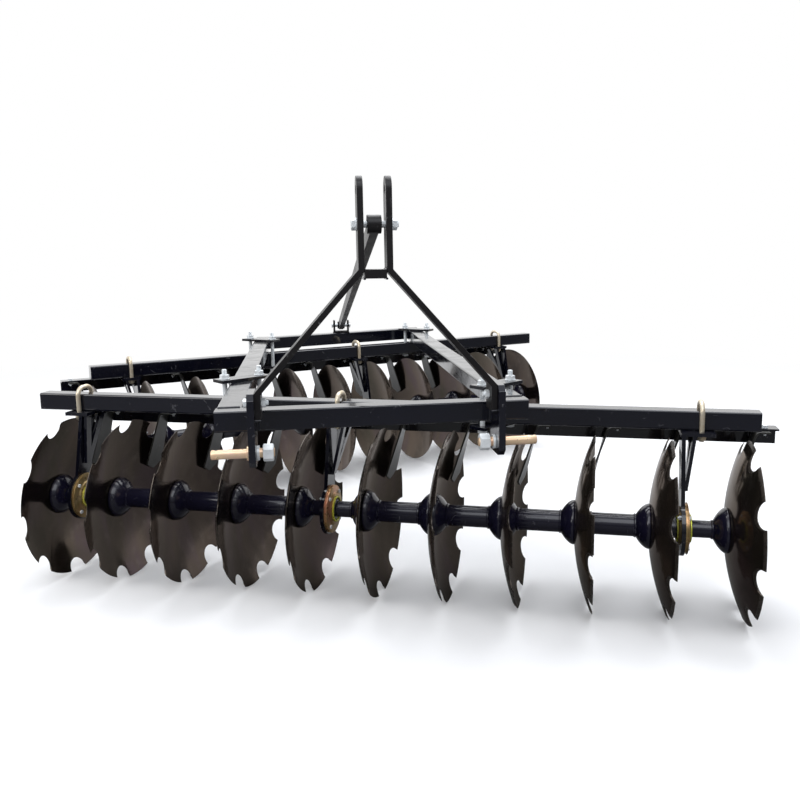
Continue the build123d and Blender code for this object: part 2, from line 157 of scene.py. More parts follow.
def mixOn(tree, share, a, b):
    mix = tree.nodes.new("ShaderNodeMix")
    mix.data_type = "RGBA"
    tree.links.new(share, mix.inputs["Factor"])
    for socket, value in ((mix.inputs[6], a), (mix.inputs[7], b)):  # its two colour sockets
        if isinstance(value, tuple):
            socket.default_value = (*value, 1)
        else:
            tree.links.new(value, socket)
    return mix.outputs[2]


def bumpOn(tree, shader, source, strength, distance):
    bump = tree.nodes.new("ShaderNodeBump")
    bump.inputs["Strength"].default_value = strength
    bump.inputs["Distance"].default_value = distance
    tree.links.new(source, bump.inputs["Height"])
    tree.links.new(bump.outputs["Normal"], shader.inputs["Normal"])


def grey(value):
    return (value, value, value)


# share of wear along the edges: the rounded normal against the flat one, broken up by grain
def edgeWear(tree, radius, grain):
    rounded = tree.nodes.new("ShaderNodeBevel")
    rounded.samples = 6
    rounded.inputs["Radius"].default_value = radius
    flat = tree.nodes.new("ShaderNodeNewGeometry")
    turn = measureOn(tree, "DOT_PRODUCT", rounded.outputs["Normal"], flat.outputs["Normal"])
    edge = rangeOn(tree, turn, 1, 0, 0.72, 0.97)
    patches = rangeOn(tree, noiseOn(tree, grain, 5), 0, 1, 0.54, 0.66)
    return mathOn(tree, "MULTIPLY", edge, patches)


# gloss paint in two close tones of black, with dust on what faces up, scratches and worn edges
paintLook = {
    "base": (0.0022, 0.0026, 0.0068), "lift": (0.0046, 0.0051, 0.012), "clouds": 3.1,
    "dust": (0.12, 0.11, 0.095), "dusty": 0.07, "dustSpots": 14,
    "worn": (0.2, 0.2, 0.21), "scratched": 0.3, "scratchSpots": 26, "edge": 0.0022, "edgeGrain": 60,
    "smooth": 0.06, "rough": 0.2, "glossClouds": 9, "shine": 0.5, "coat": 0.55, "coatRough": 0.06,
    "ripple": 17, "peel": 0.04, "peelSpots": 420, "bump": 0.22, "bumpDepth": 0.0012,
}


def paint(name, look):
    finish, tree, shader = newFinish(name, look["base"], look["smooth"])
    shader.inputs["Specular IOR Level"].default_value = look["shine"]
    shader.inputs["Coat Weight"].default_value = look["coat"]
    shader.inputs["Coat Roughness"].default_value = look["coatRough"]
    colour = mixOn(tree, noiseOn(tree, look["clouds"], 4), look["base"], look["lift"])
    surface = tree.nodes.new("ShaderNodeNewGeometry")
    level = rangeOn(tree, axisOf(tree, surface.outputs["Normal"], "Z"), 0, look["dusty"], 0.5, 1.0)
    spots = rangeOn(tree, noiseOn(tree, look["dustSpots"], 6), 0, 1, 0.42, 0.62)
    dust = mathOn(tree, "MULTIPLY", level, spots)
    colour = mixOn(tree, dust, colour, look["dust"])
    lines = noiseOn(tree, look["scratchSpots"], 4, (1, 1, 1), 3.2)
    colour = mixOn(tree, rangeOn(tree, lines, 0, look["scratched"], 0.66, 0.74), colour, look["worn"])
    colour = mixOn(tree, edgeWear(tree, look["edge"], look["edgeGrain"]), colour, look["worn"])
    tree.links.new(colour, shader.inputs["Base Color"])
    gloss = rangeOn(tree, noiseOn(tree, look["glossClouds"], 5), look["smooth"], look["rough"])
    dulled = mathOn(tree, "ADD", gloss, mathOn(tree, "MULTIPLY", dust, 0.9))
    tree.links.new(dulled, shader.inputs["Roughness"])
    peel = mathOn(tree, "MULTIPLY", noiseOn(tree, look["peelSpots"], 2), look["peel"])
    ripple = mathOn(tree, "ADD", noiseOn(tree, look["ripple"], 3, (0.6, 0.3, 1)), peel)
    bumpOn(tree, shader, ripple, look["bump"], look["bumpDepth"])
    return finish


discLook = {
    "base": (0.048, 0.038, 0.033), "warm": (0.098, 0.076, 0.061), "cool": (0.052, 0.049, 0.035),
    "violet": (0.080, 0.058, 0.067), "scuff": (0.13, 0.11, 0.094), "edge": (0.13, 0.115, 0.10),
    "tint": (0.82, 0.76, 0.71, 1),  # keeps it brown at a glancing angle too
    "metallic": 0.88, "smooth": 0.06, "rough": 0.15, "pitch": 0.1907, "ringScale": 38,
}


# rolled and tempered steel, each disc a little different
def discFinish(look):
    finish, tree, shader = newFinish("discSteel", look["base"], 0.2, look["metallic"])
    shader.inputs["Specular Tint"].default_value = look["tint"]
    coords = tree.nodes.new("ShaderNodeTexCoord")
    along = mathOn(tree, "DIVIDE", axisOf(tree, coords.outputs["Object"], "X"), look["pitch"], False)
    tone = tree.nodes.new("ShaderNodeTexWhiteNoise")
    tone.noise_dimensions = "1D"
    tree.links.new(mathOn(tree, "FLOOR", along, 0, False), tone.inputs["W"])
    colour = mixOn(tree, tone.outputs["Value"], look["base"], look["cool"])
    patches = rangeOn(tree, noiseOn(tree, 4.2, 5, (1, 1, 1), 0.6), 0, 1, 0.4, 0.68)
    colour = mixOn(tree, patches, colour, look["warm"])
    bloom = rangeOn(tree, noiseOn(tree, 6.3, 3, (1, 1, 0.35), 0.9), 0, 0.75, 0.5, 0.66)  # tempering colours
    colour = mixOn(tree, bloom, colour, look["violet"])
    scuffs = mathOn(tree, "MULTIPLY", rangeOn(tree, noiseOn(tree, 30, 8), 0, 1, 0.56, 0.7), 0.3)
    colour = mixOn(tree, scuffs, colour, look["scuff"])
    colour = mixOn(tree, edgeWear(tree, 0.002, 90), colour, look["edge"])
    tree.links.new(colour, shader.inputs["Base Color"])
    rings = tree.nodes.new("ShaderNodeTexWave")  # rings left by rolling, about the shaft
    rings.wave_type = "RINGS"
    rings.rings_direction = "X"
    rings.inputs["Scale"].default_value = look["ringScale"]
    rings.inputs["Distortion"].default_value = 1.6
    rings.inputs["Detail"].default_value = 3
    tree.links.new(coords.outputs["Object"], rings.inputs["Vector"])
    rough = rangeOn(tree, noiseOn(tree, 12, 6), look["smooth"], look["rough"])
    dulled = mathOn(tree, "ADD", rough, mathOn(tree, "MULTIPLY", rings.outputs["Fac"], 0.03))
    tree.links.new(dulled, shader.inputs["Roughness"])
    relief = mathOn(tree, "ADD", mathOn(tree, "MULTIPLY", rings.outputs["Fac"], 0.1), noiseOn(tree, 90, 3))
    bumpOn(tree, shader, relief, 0.03, 0.0005)
    return finish


# plated or ground metal: clouds of the given colours with fine darker spots
def plated(name, colours, rough, clouds, metallic):
    finish, tree, shader = newFinish(name, colours[0], rough[0], metallic)
    stops = [(0.3 + 0.4 * i / (len(colours) - 1), c) for i, c in enumerate(colours)]
    colour = rampOn(tree, noiseOn(tree, clouds, 3, (1, 1, 1), 0.8), stops)
    spots = mathOn(tree, "MULTIPLY", rangeOn(tree, noiseOn(tree, 340, 4), 0, 1, 0.6, 0.72), 0.25)
    colour = mixOn(tree, spots, colour, tuple(c * 0.35 for c in colours[0]))
    tree.links.new(colour, shader.inputs["Base Color"])
    tree.links.new(rangeOn(tree, noiseOn(tree, 70, 4), *rough), shader.inputs["Roughness"])
    bumpOn(tree, shader, noiseOn(tree, 520, 3), 0.08, 0.0004)
    return finish


framePaint = paint("framePaint", paintLook)
railPaint = paint("railPaint", {**paintLook, "scratched": 0.7, "dusty": 0.15, "dust": (0.13, 0.135, 0.11)})
mastPaint = paint("mastPaint", {
    **paintLook, "base": (0.0065, 0.0055, 0.0062), "lift": (0.012, 0.0105, 0.011),
    "smooth": 0.3, "rough": 0.46, "coat": 0.05, "shine": 0.36,
})
spoolPaint = paint("spoolPaint", {
    **paintLook, "base": (0.0058, 0.0055, 0.0155), "lift": (0.0115, 0.0105, 0.026),
    "smooth": 0.15, "rough": 0.25, "coat": 0.36, "dusty": 0.03,
})
scraperPaint = paint("scraperPaint", {
    **paintLook, "base": (0.020, 0.020, 0.016), "lift": (0.032, 0.031, 0.025),
    "smooth": 0.36, "rough": 0.52, "shine": 0.45,
})
weldPaint = paint("weldPaint", {**paintLook, "smooth": 0.26, "rough": 0.4, "peel": 0.15})
discSteel = discFinish(discLook)
groundEdge = plated("groundEdge", [(0.055, 0.045, 0.038), (0.10, 0.085, 0.073)], (0.22, 0.36), 40, 0.8)
yellowZinc = plated("yellowZinc", [
    (0.70, 0.32, 0.20), (0.60, 0.38, 0.18), (0.46, 0.33, 0.14), (0.64, 0.47, 0.24),
], (0.24, 0.4), 13, 0.7)
sealZinc = plated("sealZinc", [(0.70, 0.74, 0.07), (0.84, 0.80, 0.16)], (0.2, 0.32), 22, 0.45)
paleZinc = plated("paleZinc", [
    (0.66, 0.54, 0.38), (0.76, 0.68, 0.54), (0.70, 0.59, 0.42),
], (0.3, 0.45), 25, 0.7)
pinZinc = plated("pinZinc", [
    (0.94, 0.58, 0.40), (0.92, 0.68, 0.44), (0.95, 0.64, 0.52),
], (0.24, 0.38), 16, 0.5)
whiteZinc = plated("whiteZinc", [(0.78, 0.82, 0.84), (0.90, 0.93, 0.95)], (0.3, 0.46), 60, 0.3)
# dark steel of the bearing rings; the same finish also serves as painted shade in the linch holes
blackSteelAndHoleShade = plated("blackSteelAndHoleShade", [(0.03, 0.03, 0.032), (0.05, 0.05, 0.05)], (0.35, 0.5), 60, 0.6)
print("finishes made")


# shapes are in millimetres and turned about their own X; each is (points, faces, number of each face's finish)

def skin(rings, closed, marked=()):
    steps = len(rings[0])
    points = [p for ring in rings for p in ring]
    faces, kinds = [], []
    for i in range(len(rings) if closed else len(rings) - 1):
        a, b = i * steps, (i + 1) % len(rings) * steps
        for k in range(steps):
            n = (k + 1) % steps
            faces.append((a + k, a + n, b + n, b + k))
            kinds.append(1 if i in marked else 0)
    if not closed:
        faces += [tuple(range(steps)), tuple(range(len(points) - steps, len(points)))]
        kinds += [0, 0]
    return points, faces, kinds


def turned(profile, steps=48, closed=True):
    turns = [2 * math.pi * k / steps for k in range(steps)]
    return skin([[Vector((x, r * math.cos(a), r * math.sin(a))) for a in turns] for x, r in profile], closed)


def washer(outer, inner, thick, x=0):
    return turned([(x, inner), (x, outer - 0.4), (x + 0.4, outer), (x + thick - 0.4, outer),
                   (x + thick, outer - 0.4), (x + thick, inner)], 32)


# hexagon with chamfered corners; without a bore it is a bolt head
def hexagon(across, height, bore=0.0, x=0, steps=36):
    flat = across / 2 * 0.975
    rings = [[], [], [], [], [], []]
    for k in range(steps):
        turn = 2 * math.pi * k / steps
        corner = across / 2 / math.cos((turn + math.pi / 6) % (math.pi / 3) - math.pi / 6)
        cut = (corner - flat) * 0.55
        for ring, (px, r) in zip(rings, ((0, min(corner, flat)), (cut, corner), (height - cut, corner),
                                         (height, min(corner, flat)), (height, bore), (0, bore))):
            ring.append(Vector((x + px, r * math.cos(turn), r * math.sin(turn))))
    return skin(rings, True) if bore else skin(rings[:4], False)


def threaded(radius, x0, x1, pitch=1.75):
    count = max(2, int((x1 - x0) / pitch))
    profile = []
    for i in range(count):
        x = x0 + (x1 - x0) * i / count
        profile += [(x, radius), (x + (x1 - x0) / count / 2, radius * 0.87)]
    return turned(profile + [(x1, radius * 0.8)], 24, False)


def rod(radius, x0, x1, chamfer=0.8, steps=32):
    return turned([(x0, radius - chamfer), (x0 + chamfer, radius),
                   (x1 - chamfer, radius), (x1, radius - chamfer)], steps, False)


def put(shape, place):
    points, faces, kinds = shape
    return [place @ p for p in points], faces, kinds


def at(x, y, z, towards="X", turn=0.0):
    swing = {"X": Matrix.Identity(4), "-X": Matrix.Rotation(math.pi, 4, "Z"),
             "Z": Matrix.Rotation(-math.pi / 2, 4, "Y"), "-Z": Matrix.Rotation(math.pi / 2, 4, "Y")}[towards]
    return Matrix.Translation((x, y, z)) @ swing @ Matrix.Rotation(turn, 4, "X")


# washer and bolt head; only the head takes the turn
def headOn(form, place, turn=0.0):
    return [put(washer(form["washer"], form["hole"], form["thick"]), place),
            put(hexagon(form["across"], form["head"], 0, form["thick"]), place @ Matrix.Rotation(turn, 4, "X"))]


# washer, nut and the end of the thread
def nutOn(form, place, turn=0.0):
    return [put(washer(form["washer"], form["hole"], form["thick"]), place),
            put(hexagon(form["across"], form["nut"], form["hole"], form["thick"]),
                place @ Matrix.Rotation(turn, 4, "X")),
            put(threaded(form["thread"], *form["tail"]), place)]


# bead of weld along a line of points, half sunk in the joint, with ripples
def bead(line, radius):
    line = [Vector(p) for p in line]
    rings = []
    for a, b in zip(line, line[1:]):
        along = (b - a).normalized()
        side = along.orthogonal().normalized()
        other = along.cross(side)
        count = max(2, int((b - a).length / 2.4))
        for i in range(count + (b == line[-1])):
            swell = radius * (0.9 + 0.16 * abs(math.sin(i * 1.15)) + random.uniform(-0.05, 0.05))
            centre = a + (b - a) * i / count
            rings.append([centre + (side * math.cos(t) + other * math.sin(t)) * swell
                          for t in (2 * math.pi * k / 8 for k in range(8))])
    return skin(rings, False)


def build(name, shapes, place, finishes, body, node=(), smooth=38):
    mesh = bpy.data.meshes.new(name)
    work = bmesh.new()
    for points, faces, kinds in shapes:
        made = [work.verts.new(p * mm) for p in points]
        for face, kind in zip(faces, kinds):
            work.faces.new([made[i] for i in face]).material_index = kind
    bmesh.ops.recalc_face_normals(work, faces=work.faces)
    work.to_mesh(mesh)
    work.free()
    for finish in finishes if isinstance(finishes, list) else [finishes]:
        mesh.materials.append(finish)
    mesh.polygons.foreach_set("use_smooth", [True] * len(mesh.polygons))
    mesh.set_sharp_from_angle(angle=math.radians(smooth))
    piece = bpy.data.objects.new(name, mesh)
    bpy.context.scene.collection.objects.link(piece)
    piece.matrix_world = place
    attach(piece, body)
    if node:
        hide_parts(*node)


# paint on the frame's own solids, with their edges softened where they show
def dress(node, finish, soften=0.0):
    piece = frame["nodes"][node]
    piece.data.materials.clear()
    piece.data.materials.append(finish)
    if soften:
        normals = piece.data.attributes.get("custom_normal")
        if normals:
            piece.data.attributes.remove(normals)
        piece.data.polygons.foreach_set("use_smooth", [True] * len(piece.data.polygons))
        weld = piece.modifiers.new("join", "WELD")
        weld.merge_threshold = 0.00002
        bevel = piece.modifiers.new("soften", "BEVEL")
        bevel.width = soften
        bevel.segments = 2
        bevel.limit_method = "ANGLE"
        bevel.angle_limit = math.radians(42)
        bevel.harden_normals = True


for name in frame["nodes"]:
    if name.endswith("_scrapers"):
        dress(name, scraperPaint, 0.0006)
    elif name.endswith("_u_bolts"):
        dress(name, paleZinc)
    elif name.endswith("_shaft"):
        dress(name, spoolPaint, 0.001)
    elif name.endswith(("hanger_left", "hanger_middle", "hanger_right", "clamp_plates")):
        dress(name, framePaint, 0.0009)
    elif name.startswith("hitch_plate"):
        dress(name, framePaint, 0.0014)
    elif name.startswith("mast_bar") or name in ("brace_clevis", "rear_brace", "mast_tie"):
        dress(name, mastPaint, 0.0012)
    elif name.startswith("rail"):
        dress(name, railPaint)
    else:
        dress(name, framePaint)
print("frame solids dressed")

discForm = {
    "radius": 230, "depth": 48.7, "thickness": 4, "hub": 24, "notchRadius": 33,
    "groundWidth": 7, "groundDepth": 2.5, "rings": 11,
}
dishRadius = (discForm["radius"] ** 2 + discForm["depth"] ** 2) / (2 * discForm["depth"])


def sag(r):
    return dishRadius - math.sqrt(dishRadius ** 2 - r * r)


# (turn from the top, rim radius) round a disc: plain, or with round notches between the teeth
def rimLine(notches, first):
    radius, cut = discForm["radius"], discForm["notchRadius"]
    if not notches:
        return [(2 * math.pi * k / 144, radius) for k in range(144)]
    line = []
    half = 2 * math.asin(cut / 2 / radius)  # where the notch meets the rim
    reach = math.acos(cut / 2 / radius)
    gap = 2 * math.pi / notches - 2 * half
    for n in range(notches):
        centre = 2 * math.pi * n / notches + math.radians(first)
        for k in range(13):
            a = -reach + 2 * reach * k / 12
            x, y = radius - cut * math.cos(a), cut * math.sin(a)
            line.append((centre + math.atan2(y, x), math.hypot(x, y)))
        line += [(centre + half + gap * k / 8, radius) for k in range(1, 8)]
    return line


# dished disc with its vertex at x; the rim is ground to an edge from the back
def disc(x, side, rim):
    form = discForm
    back, hollow = [], []
    for i in range(form["rings"] + 1):
        share = i / form["rings"]
        backRing, hollowRing = [], []
        for turn, out in rim:
            r = form["hub"] + (out - form["groundWidth"] - form["hub"]) * share
            px = x + side * sag(r)
            backRing.append(Vector((px, r * math.sin(turn), r * math.cos(turn))))
            r = form["hub"] + (out - form["hub"]) * share
            px = x + side * (sag(r) + form["thickness"])
            hollowRing.append(Vector((px, r * math.sin(turn), r * math.cos(turn))))
        back.append(backRing)
        hollow.append(hollowRing)
    edge = [Vector((x + side * (sag(out) + form["groundDepth"]), out * math.sin(turn), out * math.cos(turn)))
            for turn, out in rim]
    rings = back + [edge] + hollow[::-1]
    return skin(rings, True, (len(back) - 1, len(back)))


for name, gang in gangs.items():
    shapes = [disc(x, gang["side"], rimLine(gang["notches"], first))
              for x, first in zip(stations, gang["turns"])]
    build(name + "Discs", shapes, gang["place"], [discSteel, groundEdge], gang["body"],
          [name + "_discs"], 30)
print("discs made")

spoolForm = {
    "tube": 28.5, "neck": 22, "bore": 21, "bell": 58, "reach": 35, "curve": 1.8, "endReach": 26, "gap": 0.3,
    "journal": 26, "journalFront": 12, "journalBack": 26,
}


# half a spool from its rim on the disc to the weld where the bell meets the tube
def bellLine(x, reach, radius):
    form = spoolForm
    bend = math.copysign(1, reach)
    line = [(x + bend * 0.2, form["bell"] - 1.2), (x + bend * 1.6, form["bell"])]
    for k in range(1, 13):
        share = k / 12
        line.append((x + reach * (0.05 + 0.95 * share),
                     radius + (form["bell"] - radius) * (1 - share ** form["curve"])))
    end = x + reach
    return line + [(end + bend * 0.6, radius + 2.4), (end + bend * 3.2, radius + 2.7),
                   (end + bend * 5.4, radius)]


# a spool that runs in a bearing has a thinner neck and a journal
def spoolShape(x0, x1, side, bearing):
    form = spoolForm
    tube = form["tube"] if bearing is None else form["neck"]
    line = [(x0 + side * sag(form["bore"]), form["bore"])]
    line += bellLine(x0 + side * sag(form["bell"]), form["reach"], tube)
    if bearing is not None:
        low, high = sorted((bearing - side * form["journalBack"], bearing + side * form["journalFront"]))
        line += [(low, tube), (low, form["journal"]), (high, form["journal"]), (high, tube)]
    line += bellLine(x1 + side * sag(form["bell"]), -form["reach"], tube)[::-1]
    line += [(x1 + side * sag(form["bore"]), form["bore"])]
    return turned(line, 64)


# low bell outside the last disc, for the end nut of the shaft
def endBell(face, bend):
    form = spoolForm
    rim = face + bend * sag(form["bell"])
    line = [(face + bend * sag(form["bore"]), form["bore"]), (rim + 0.2, form["bell"] - 1.2),
            (rim + 1.6, form["bell"])]
    for k in range(1, 11):
        a = math.pi / 2 * k / 10
        line.append((rim + form["endReach"] * (0.06 + 0.94 * math.sin(a)),
                     form["tube"] + (form["bell"] - form["tube"]) * math.cos(a)))
    return turned(line + [(rim + form["endReach"], form["bore"])], 64)


for name, gang in gangs.items():
    side, shapes, thick, gap = gang["side"], [], discForm["thickness"], spoolForm["gap"]
    for a, b in zip(stations, stations[1:]):
        inside = [p for p in gang["bearings"] if a < p < b]
        x0 = a + gap + (thick if side > 0 else 0)
        x1 = b - gap - (thick if side < 0 else 0)
        shapes.append(spoolShape(x0, x1, side, inside[0] if inside else None))
    for end, towards in ((-1, "-X"), (1, "X")):
        face = stations[-1] + gap + (thick if end == side else 0)
        shapes.append(put(endBell(face, 1 if end == side else -1), at(0, 0, 0, towards)))
    build(name + "Spools", shapes, gang["place"], spoolPaint, gang["body"],
          [name + "_spools"], 50)
print("spools made")

bearingForm = {
    "flange": 66, "half": 4.5, "sheet": 2.3, "dome": 46, "front": 10, "back": 19, "mouth": 36.3, "inside": 28,
    "sealFront": 14, "sealBack": 23, "seal": 36, "bore": 26.06,
    "boltCircle": 55.5, "across": 10, "head": 4, "nut": 5, "stud": 3.2, "standard": 10.3, "nipple": 16.5,
}
nippleLine = [(40, 4.2), (49, 4.2), (50, 3.2), (53, 3.2), (53.6, 4), (56, 4), (57.5, 2.4)]


# two pressed sheets with their flanges face to face and a low dome on the hollow side
def housing(form):
    flange, half, slot, dome = form["flange"], form["half"], form["half"] - form["sheet"], form["dome"]
    front, back, mouth, inside = form["front"], form["back"], form["mouth"], form["inside"]
    return turned([
        (1.5 - back, inside), (1.5 - back, mouth), (-back, mouth + 0.2), (-back, mouth + 4),
        (1 - back, mouth + 7), (3.5 - back, dome - 0.6), (-half, dome), (-half, flange - 0.9),
        (-half + 0.5, flange),
        (-slot - 0.3, flange), (-slot, flange - 0.6), (-slot, flange - 4),
        (slot, flange - 4), (slot, flange - 0.6), (slot + 0.3, flange),
        (half - 0.5, flange), (half, flange - 0.9), (half, dome + 4), (half + 0.6, dome + 1),
        (half + 1.6, dome - 0.6),
        (front - 1.6, dome - 2), (front - 0.4, dome - 4), (front, dome - 6.5), (front, mouth + 0.2),
        (front - 1.5, mouth), (front - 1.5, inside),
    ], 72)


def sealRing(form, out):
    return turned([(out - 6, 31), (out - 6, form["seal"] - 0.4), (out - 1.3, form["seal"]),
                   (out, form["seal"] - 1.4), (out, 32.2), (out - 1, 31.2)], 64)


def bearingRing(form, out):
    return turned([(out - 9, form["bore"]), (out - 9, 31.5), (out - 4.6, 31.2), (out - 4, 29),
                   (out - 4, form["bore"])], 48)


for name, gang in gangs.items():
    form = bearingForm
    hollow, plain = ("X", "-X") if gang["side"] > 0 else ("-X", "X")
    behind = form["half"] + form["standard"]  # far face of the hanger's standard
    shells, seals, cores, fasteners, nipples = [], [], [], [], []
    for p in gang["bearings"]:
        shells.append(put(housing(form), at(p, 0, 0, hollow)))
        for out, towards in ((form["sealFront"], hollow), (form["sealBack"], plain)):
            seals.append(put(sealRing(form, out), at(p, 0, 0, towards)))
            cores.append(put(bearingRing(form, out), at(p, 0, 0, towards)))
        for k in range(4):
            turn = math.pi / 4 + math.pi / 2 * k
            y, z = form["boltCircle"] * math.cos(turn), form["boltCircle"] * math.sin(turn)
            head = hexagon(form["across"], form["head"], 0, form["half"])
            nut = hexagon(form["across"], form["nut"], form["stud"], behind)
            fasteners.append(put(head, at(p, y, z, hollow, k * 0.7)))
            fasteners.append(put(rod(form["stud"], behind - 1, behind + 9), at(p, y, z, plain)))
            fasteners.append(put(nut, at(p, y, z, plain, k * 1.1)))
        nipples.append(put(turned(nippleLine, 20, False), at(p - gang["side"] * form["nipple"], 0, 0, "Z")))
    build(name + "Housings", shells, gang["place"], yellowZinc, "frame",
          [name + "_bearings"], 32)
    build(name + "Seals", seals, gang["place"], sealZinc, "frame", (), 32)
    build(name + "BearingRings", cores, gang["place"], blackSteelAndHoleShade, "frame", (), 32)
    build(name + "HousingBolts", fasteners, gang["place"], whiteZinc, "frame", ())
    build(name + "GreaseNipples", nipples, gang["place"], paleZinc, "frame", ())
print("bearings made")

# nuts under the hanger plates, on both legs of each U-bolt
hookForm = {
    "setback": 66, "reach": 32.3, "plate": 10,
    "washer": 11.4, "hole": 6.6, "thick": 2, "across": 20, "nut": 10.5, "thread": 6.55, "tail": (12, 16.2),
}

for name, gang in gangs.items():
    form, nuts = hookForm, []
    low = frameForm["hangerTop"] - form["plate"]
    for x in gang["hooks"]:
        for y in (form["setback"] - form["reach"], form["setback"] + form["reach"]):
            nuts += nutOn(form, at(x, y, low, "-Z"), random.uniform(0, 1))
    build(name + "HookNuts", nuts, gang["place"], paleZinc, "frame", ())
print("U-bolt nuts made")

# bolts that clamp each gang beam under the rails, nut up
clampForm = {
    "rail": 345, "setback": 66, "spacing": 112, "plate": 9, "seat": 0.3, "beamLow": 477.7, "shank": 6.9,
    "washer": 15, "hole": 7, "thick": 2.4, "across": 23, "nut": 10.6, "head": 9, "thread": 7,
    "tail": (10, 27.8),
}


def clampPoints(gang):
    origin = hitchPlace.inverted() @ gang["place"].translation / mm
    a = gang["angle"]
    cx = origin.x - clampForm["setback"] * math.sin(a)
    cy = origin.y + clampForm["setback"] * math.cos(a)
    turn, half = math.radians(gang["clampTurn"]), clampForm["spacing"] / 2
    for x in (-clampForm["rail"], clampForm["rail"]):
        y = cy + (x - cx) * math.tan(a)
        for s in (-1, 1):
            yield x + s * half * math.cos(turn), y + s * half * math.sin(turn)


for name, gang in gangs.items():
    form, shapes = clampForm, []
    top = frameForm["top"] + form["seat"] + form["plate"]
    low = form["beamLow"] - form["seat"] - form["plate"]
    for x, y in clampPoints(gang):
        shapes.append(put(rod(form["shank"], low - 1, top + 1), at(x, y, 0, "Z")))
        shapes += nutOn(form, at(x, y, top, "Z"), random.uniform(0, 1))
        shapes += headOn(form, at(x, y, low, "-Z"), random.uniform(0, 1))
    build(name + "ClampBolts", shapes, hitchPlace, whiteZinc, "frame", [name + "_clamp_bolts"])
print("clamp bolts made")

# one bolt for each scraper, head up on the angle iron
scraperForm = {
    "along": 112, "back": 152, "legTop": 237.1, "leg": 5, "tab": 5, "seat": 0.4, "plate": 10.3,
    "washer": 7.8, "hole": 4, "thick": 1.4, "across": 13, "head": 5.5, "nut": 6.5, "shank": 4, "pitch": 1.25,
}

for name, gang in gangs.items():
    form, shapes = scraperForm, []
    low = form["legTop"] - form["leg"] - form["tab"] - form["seat"]
    for x in stations:
        t = gang["side"] * (x + form["along"])
        covered = any(start < t < end for start, end in gang["plates"])  # there it goes through the hanger too
        top = form["legTop"] + (form["plate"] if covered else 0)
        turn = random.uniform(0, 1)
        shapes += headOn(form, at(t, form["back"], top, "Z"), turn)
        shapes.append(put(rod(form["shank"], low - 1, top + 1), at(t, form["back"], 0, "Z")))
        nut = hexagon(form["across"], form["nut"], form["hole"])
        shapes.append(put(nut, at(t, form["back"], low, "-Z", turn + 0.4)))
        shapes.append(put(threaded(form["shank"], 6, 11, form["pitch"]), at(t, form["back"], low, "-Z")))
    build(name + "ScraperBolts", shapes, gang["place"], whiteZinc, "frame", ())
print("scraper bolts made")

# lower link pins, each with a collar outside its hitch plate and a washer and nut inside
pinForm = {
    "height": 489, "y": -48, "radius": 11, "out": 86, "inside": 40, "collar": 17, "collarWidth": 6,
    "nut": 24, "nutGap": 14, "across": 36, "linchInset": 12, "linch": 3.3,
}

for name, towards in (("Left", "-X"), ("Right", "X")):
    form, r, outer = pinForm, pinForm["radius"], frameForm["plateOuter"]
    inner, tip, shoulder = outer - frameForm["plate"], outer + form["out"], outer + form["collarWidth"]
    place = at(0, form["y"], form["height"], towards)
    start = inner - form["inside"]
    shank = turned([(start, r - 2), (start + 2, r), (outer + 3, r), (outer + 6.6, r), (tip - 20, r),
                    (tip - 2.2, r), (tip - 0.6, r - 1.2), (tip, r - 2.6)], 48, False)
    collar = turned([(outer + 0.4, r), (outer + 0.4, form["collar"] - 0.8), (outer + 1.2, form["collar"]),
                     (shoulder - 1, form["collar"]), (shoulder, form["collar"] - 1), (shoulder + 0.2, r + 1.2),
                     (shoulder + 1.4, r)], 48)
    build("hitchPin" + name, [put(shank, place), put(collar, place)], hitchPlace, pinZinc, "frame",
          ["hitch_pin_" + name.lower()])
    silver = [put(washer(form["collar"], r, form["collarWidth"], inner - 0.3 - form["collarWidth"]), place),
              put(hexagon(form["across"], form["nut"], r, inner - form["nutGap"] - form["nut"]), place)]
    build("hitchPinNut" + name, silver, hitchPlace, whiteZinc, "frame", ())
    # black capped plug across the pin near its tip: painted shade standing in for the linch pin's cross hole,
    # which is not cut
    hole = turned([(-r - 0.15, form["linch"] + 0.6), (-r + 0.25, form["linch"]), (r - 0.25, form["linch"]),
                   (r + 0.15, form["linch"] + 0.6)], 24, False)
    build("linchHoleShade" + name, [put(hole, place @ at(tip - form["linchInset"], 0, 0, "Z"))], hitchPlace,
          blackSteelAndHoleShade, "frame", ())

# the bolt across the top of the mast and one bolt at each foot of its bars
mastForm = {
    "outer": 39, "y": -45, "z": 1000, "shank": 8, "washer": 15, "hole": 8, "thick": 2.4,
    "across": 24, "nut": 10.5, "head": 10, "thread": 8, "tail": (11, 16.6),
}
form = mastForm
right, left = (at(0, form["y"], form["z"], s) @ Matrix.Translation((form["outer"], 0, 0)) for s in ("X", "-X"))
shank = rod(form["shank"], -form["outer"] - 3, form["outer"] + 3)
bolts = nutOn(form, right) + headOn(form, left) + [put(shank, at(0, form["y"], form["z"]))]
build("mastBolt", bolts, hitchPlace, whiteZinc, "frame", ["mast_bolt"])

footForm = {
    "inner": 263.7, "z": 604, "washer": 13, "hole": 6, "thick": 2, "across": 19, "head": 8, "nut": 10,
}
form, bolts = footForm, []
for towards in ("X", "-X"):
    place = at(0, mastForm["y"], form["z"], towards)
    bolts += headOn(form, place @ Matrix.Translation((frameForm["plateOuter"], 0, 0)))
    bolts.append(put(hexagon(form["across"], form["nut"], form["hole"], form["inner"] - form["nut"]), place))
    bolts.append(put(threaded(form["hole"], form["inner"] - 16, form["inner"] - 9), place))
build("mastFootBolts", bolts, hitchPlace, whiteZinc, "frame", ())

